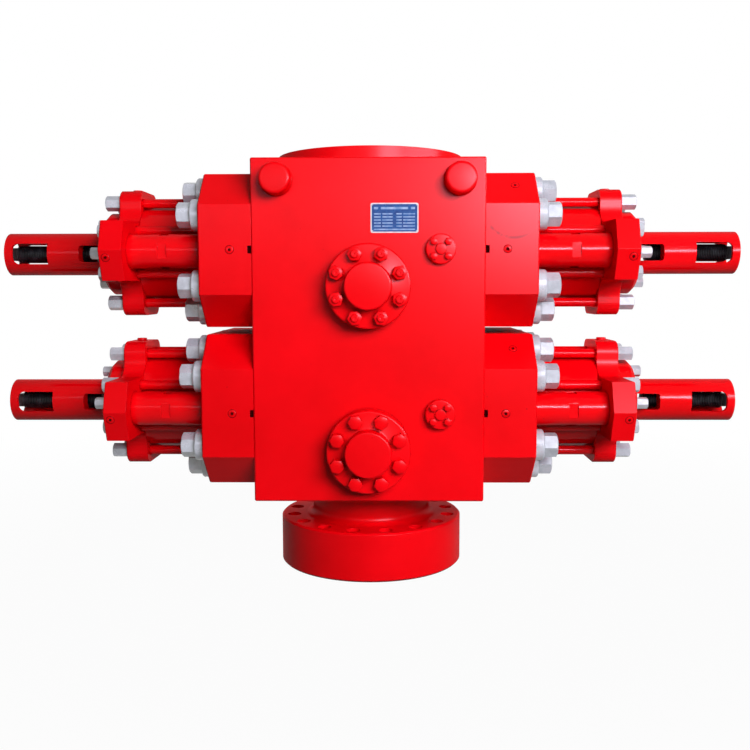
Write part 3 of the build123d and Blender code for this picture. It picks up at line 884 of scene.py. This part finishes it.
field_width = field_right - field_left
fields = [(7.3, 0.75, ((0.05, 0.14), (0.20, 0.80), (0.86, 0.95))), (0.5, 0.45, ((0.05, 0.95),))]
fields += [(1.6 + row, 0.42, ((0.05, 0.20), (0.23, 0.46), (0.54, 0.66), (0.69, 0.95))) for row in range(5)]
for row, tall, splits in fields:
    foot = field_foot + row_height * row
    head = foot + row_height * tall
    for first, last in splits:
        left = field_left + field_width * first
        right = field_left + field_width * last
        box = rounded_plate(left, right, foot, head, FIELD_CORNER, field_front, field_front - ENAMEL_THICKNESS)
        boxes.append((box, upright))
pale_print = clouded_coat("plate_pale_print", PRINT_PALE, PRINT_PALER, 0.36, 0.0)
make_piece("data_plate_blank_fields", boxes, pale_print)
rivets = []
for x in (PLATE_LEFT + PLATE_CORNER, PLATE_RIGHT - PLATE_CORNER):
    for z in (PLATE_FOOT + PLATE_CORNER, PLATE_HEAD - PLATE_CORNER):
        dome = [(0, 0), (RIVET_RADIUS, 0), (RIVET_RADIUS, RIVET_FOOT)]
        dome += rounded_rim(RIVET_RADIUS, RIVET_HEIGHT, RIVET_ROUNDING) + [(0, RIVET_HEIGHT)]
        rivets.append((turned(dome, 20), facing((x, plate_front, z), (0, -1, 0))))
make_piece("data_plate_rivets", rivets, zinc)


# Studio
# A plain white floor that keeps the shadow and a white sweep all round, both seen in gloss too, a soft key
# lamp from the right and one behind for what is matt, softboxes that show only in the gloss of the paint
# or of the zinc, and the camera where the photograph was taken.
FLOOR_REACH = 40.0
FLOOR_DROP = 0.0005
FLOOR_WHITE_NEAR = 0.965
FLOOR_WHITE_FROM = 1.2
FLOOR_WHITE_BY = 3.5
FLOOR_GREY = (0.09, 0.09, 0.09, 1)
ROOM_FILL = (0.038, 0.038, 0.040, 1)
LAMP_COLOUR = (0.98, 0.94, 1.18)
PLANT_MIDDLE = (0, 0, 0.85)
WHITE = (1, 1, 1, 1)
IMAGE_WIDTH = 750
FOCAL_PIXELS = 896.93
SENSOR_WIDTH = 36.0
CAMERA_PLACE = (0.06364, -3.26259, 0.98609)
CAMERA_YAW = 0.0148
CAMERA_PITCH = 0.0962
CAMERA_ROLL = -0.0021

bpy.context.scene.view_settings.view_transform = "Standard"

floor_mesh = bpy.data.meshes.new("studio_floor")
corners = [(-FLOOR_REACH, -FLOOR_REACH), (FLOOR_REACH, -FLOOR_REACH), (FLOOR_REACH, FLOOR_REACH),
           (-FLOOR_REACH, FLOOR_REACH)]
floor_mesh.from_pydata([(x, y, body_foot - FLOOR_DROP) for x, y in corners], [], [(0, 1, 2, 3)])
floor = bpy.data.objects.new("studio_floor", floor_mesh)
bpy.context.scene.collection.objects.link(floor)
floor_finish = bpy.data.materials.new("studio_floor_white")
floor_finish.use_nodes = True
tree = floor_finish.node_tree
tree.nodes.clear()
rays = add_node(tree, "ShaderNodeLightPath").outputs
place = add_node(tree, "ShaderNodeNewGeometry").outputs["Position"]
distance = add_node(tree, "ShaderNodeVectorMath", {0: place}, operation="LENGTH").outputs["Value"]
straight = maths(tree, "MAXIMUM", rays["Is Camera Ray"], rays["Is Transmission Ray"])
seen = maths(tree, "MAXIMUM", straight, rays["Is Glossy Ray"])
whiteness = spread(tree, distance, FLOOR_WHITE_FROM, FLOOR_WHITE_BY, FLOOR_WHITE_NEAR, 1.0)
shown = maths(tree, "MULTIPLY", seen, whiteness)
matt = add_node(tree, "ShaderNodeBsdfDiffuse", {"Color": FLOOR_GREY}).outputs["BSDF"]
glow = add_node(tree, "ShaderNodeEmission", {"Color": WHITE}).outputs["Emission"]
mixed = add_node(tree, "ShaderNodeMixShader", {0: shown, 1: matt, 2: glow}).outputs["Shader"]
add_node(tree, "ShaderNodeOutputMaterial", {"Surface": mixed})
floor_mesh.materials.append(floor_finish)

world = bpy.data.worlds.new("studio")
bpy.context.scene.world = world
world.use_nodes = True
tree = world.node_tree
tree.nodes.clear()
rays = add_node(tree, "ShaderNodeLightPath").outputs
fill = add_node(tree, "ShaderNodeBackground", {"Color": ROOM_FILL}).outputs["Background"]
sweep = add_node(tree, "ShaderNodeBackground", {"Color": WHITE}).outputs["Background"]
straight = maths(tree, "MAXIMUM", rays["Is Camera Ray"], rays["Is Transmission Ray"])
seen = maths(tree, "MAXIMUM", straight, rays["Is Glossy Ray"])
shown = add_node(tree, "ShaderNodeMixShader", {0: seen, 1: fill, 2: sweep})
add_node(tree, "ShaderNodeOutputWorld", {"Surface": shown.outputs["Shader"]})


def pieces_in(finish):
    """The pieces that wear a finish, gathered so that a lamp can be linked to them."""
    wearing = bpy.data.collections.new(finish + "_pieces")
    for piece in bpy.context.scene.objects:
        worn = piece.data.materials if piece.type == "MESH" else None
        if worn and worn[0].name.startswith(finish):
            wearing.objects.link(piece)
    return wearing


def soft_lamp(name, place, target, width, height, power, gloss_on=None):
    """A soft lamp turned towards a point: it lights what is matt, or shows in one finish's gloss."""
    lamp_data = bpy.data.lights.new(name, "AREA")
    lamp_data.shape = "RECTANGLE"
    lamp_data.size = width
    lamp_data.size_y = height
    lamp_data.energy = power
    lamp_data.color = LAMP_COLOUR
    lamp = bpy.data.objects.new(name, lamp_data)
    aim = Vector(target) - Vector(place)
    turn = aim.to_track_quat("-Z", "Y").to_matrix().to_4x4()
    lamp.matrix_world = Matrix.Translation(Vector(place)) @ turn
    lamp.visible_glossy = gloss_on is not None
    lamp.visible_diffuse = gloss_on is None
    lamp.light_linking.receiver_collection = gloss_on
    bpy.context.scene.collection.objects.link(lamp)


on_paint = pieces_in("red_gloss_paint")
on_zinc = pieces_in("zinc_plated_steel")
soft_lamp("key_lamp", (2.0, -4.2, 2.5), PLANT_MIDDLE, 3.2, 2.0, 335.0)
soft_lamp("back_lamp", (-2.0, 4.2, 2.0), PLANT_MIDDLE, 2.4, 1.4, 250.0)
soft_lamp("window_lamp", (2.6, -1.3, 1.66), (0, -0.1, 1.3), 2.4, 0.36, 130.0, on_paint)
soft_lamp("softbox", (1.60, -3.35, 1.65), (1.0, 0, 1.0), 1.7, 0.56, 200.0, on_paint)
soft_lamp("softbox_edge", (0.32, -3.35, 1.68), (0.2, 0, 1.0), 0.85, 0.50, 11.5, on_paint)
soft_lamp("left_softbox", (-1.25, -3.35, 1.65), (-0.8, 0, 1.0), 2.3, 0.50, 14.1, on_paint)
soft_lamp("zinc_softbox", (1.9, -3.2, 2.0), (0.9, 0, 1.0), 1.4, 2.2, 31.0, on_zinc)
soft_lamp("left_zinc_softbox", (-1.6, -3.2, 1.6), (-0.8, 0, 1.0), 1.4, 0.5, 6.0, on_zinc)

camera_data = bpy.data.cameras.new("camera")
camera_data.sensor_width = SENSOR_WIDTH
camera_data.lens = FOCAL_PIXELS / IMAGE_WIDTH * SENSOR_WIDTH
camera = bpy.data.objects.new("camera", camera_data)
bpy.context.scene.collection.objects.link(camera)
bpy.context.scene.camera = camera
forward = Vector((-math.sin(CAMERA_YAW) * math.cos(CAMERA_PITCH),
                  math.cos(CAMERA_YAW) * math.cos(CAMERA_PITCH), -math.sin(CAMERA_PITCH)))
level_right = Vector((math.cos(CAMERA_YAW), math.sin(CAMERA_YAW), 0))
level_up = level_right.cross(forward)
right = math.cos(CAMERA_ROLL) * level_right + math.sin(CAMERA_ROLL) * level_up
up = math.cos(CAMERA_ROLL) * level_up - math.sin(CAMERA_ROLL) * level_right
camera.matrix_world = Matrix.Translation(CAMERA_PLACE) @ Matrix((right, up, -forward)).transposed().to_4x4()
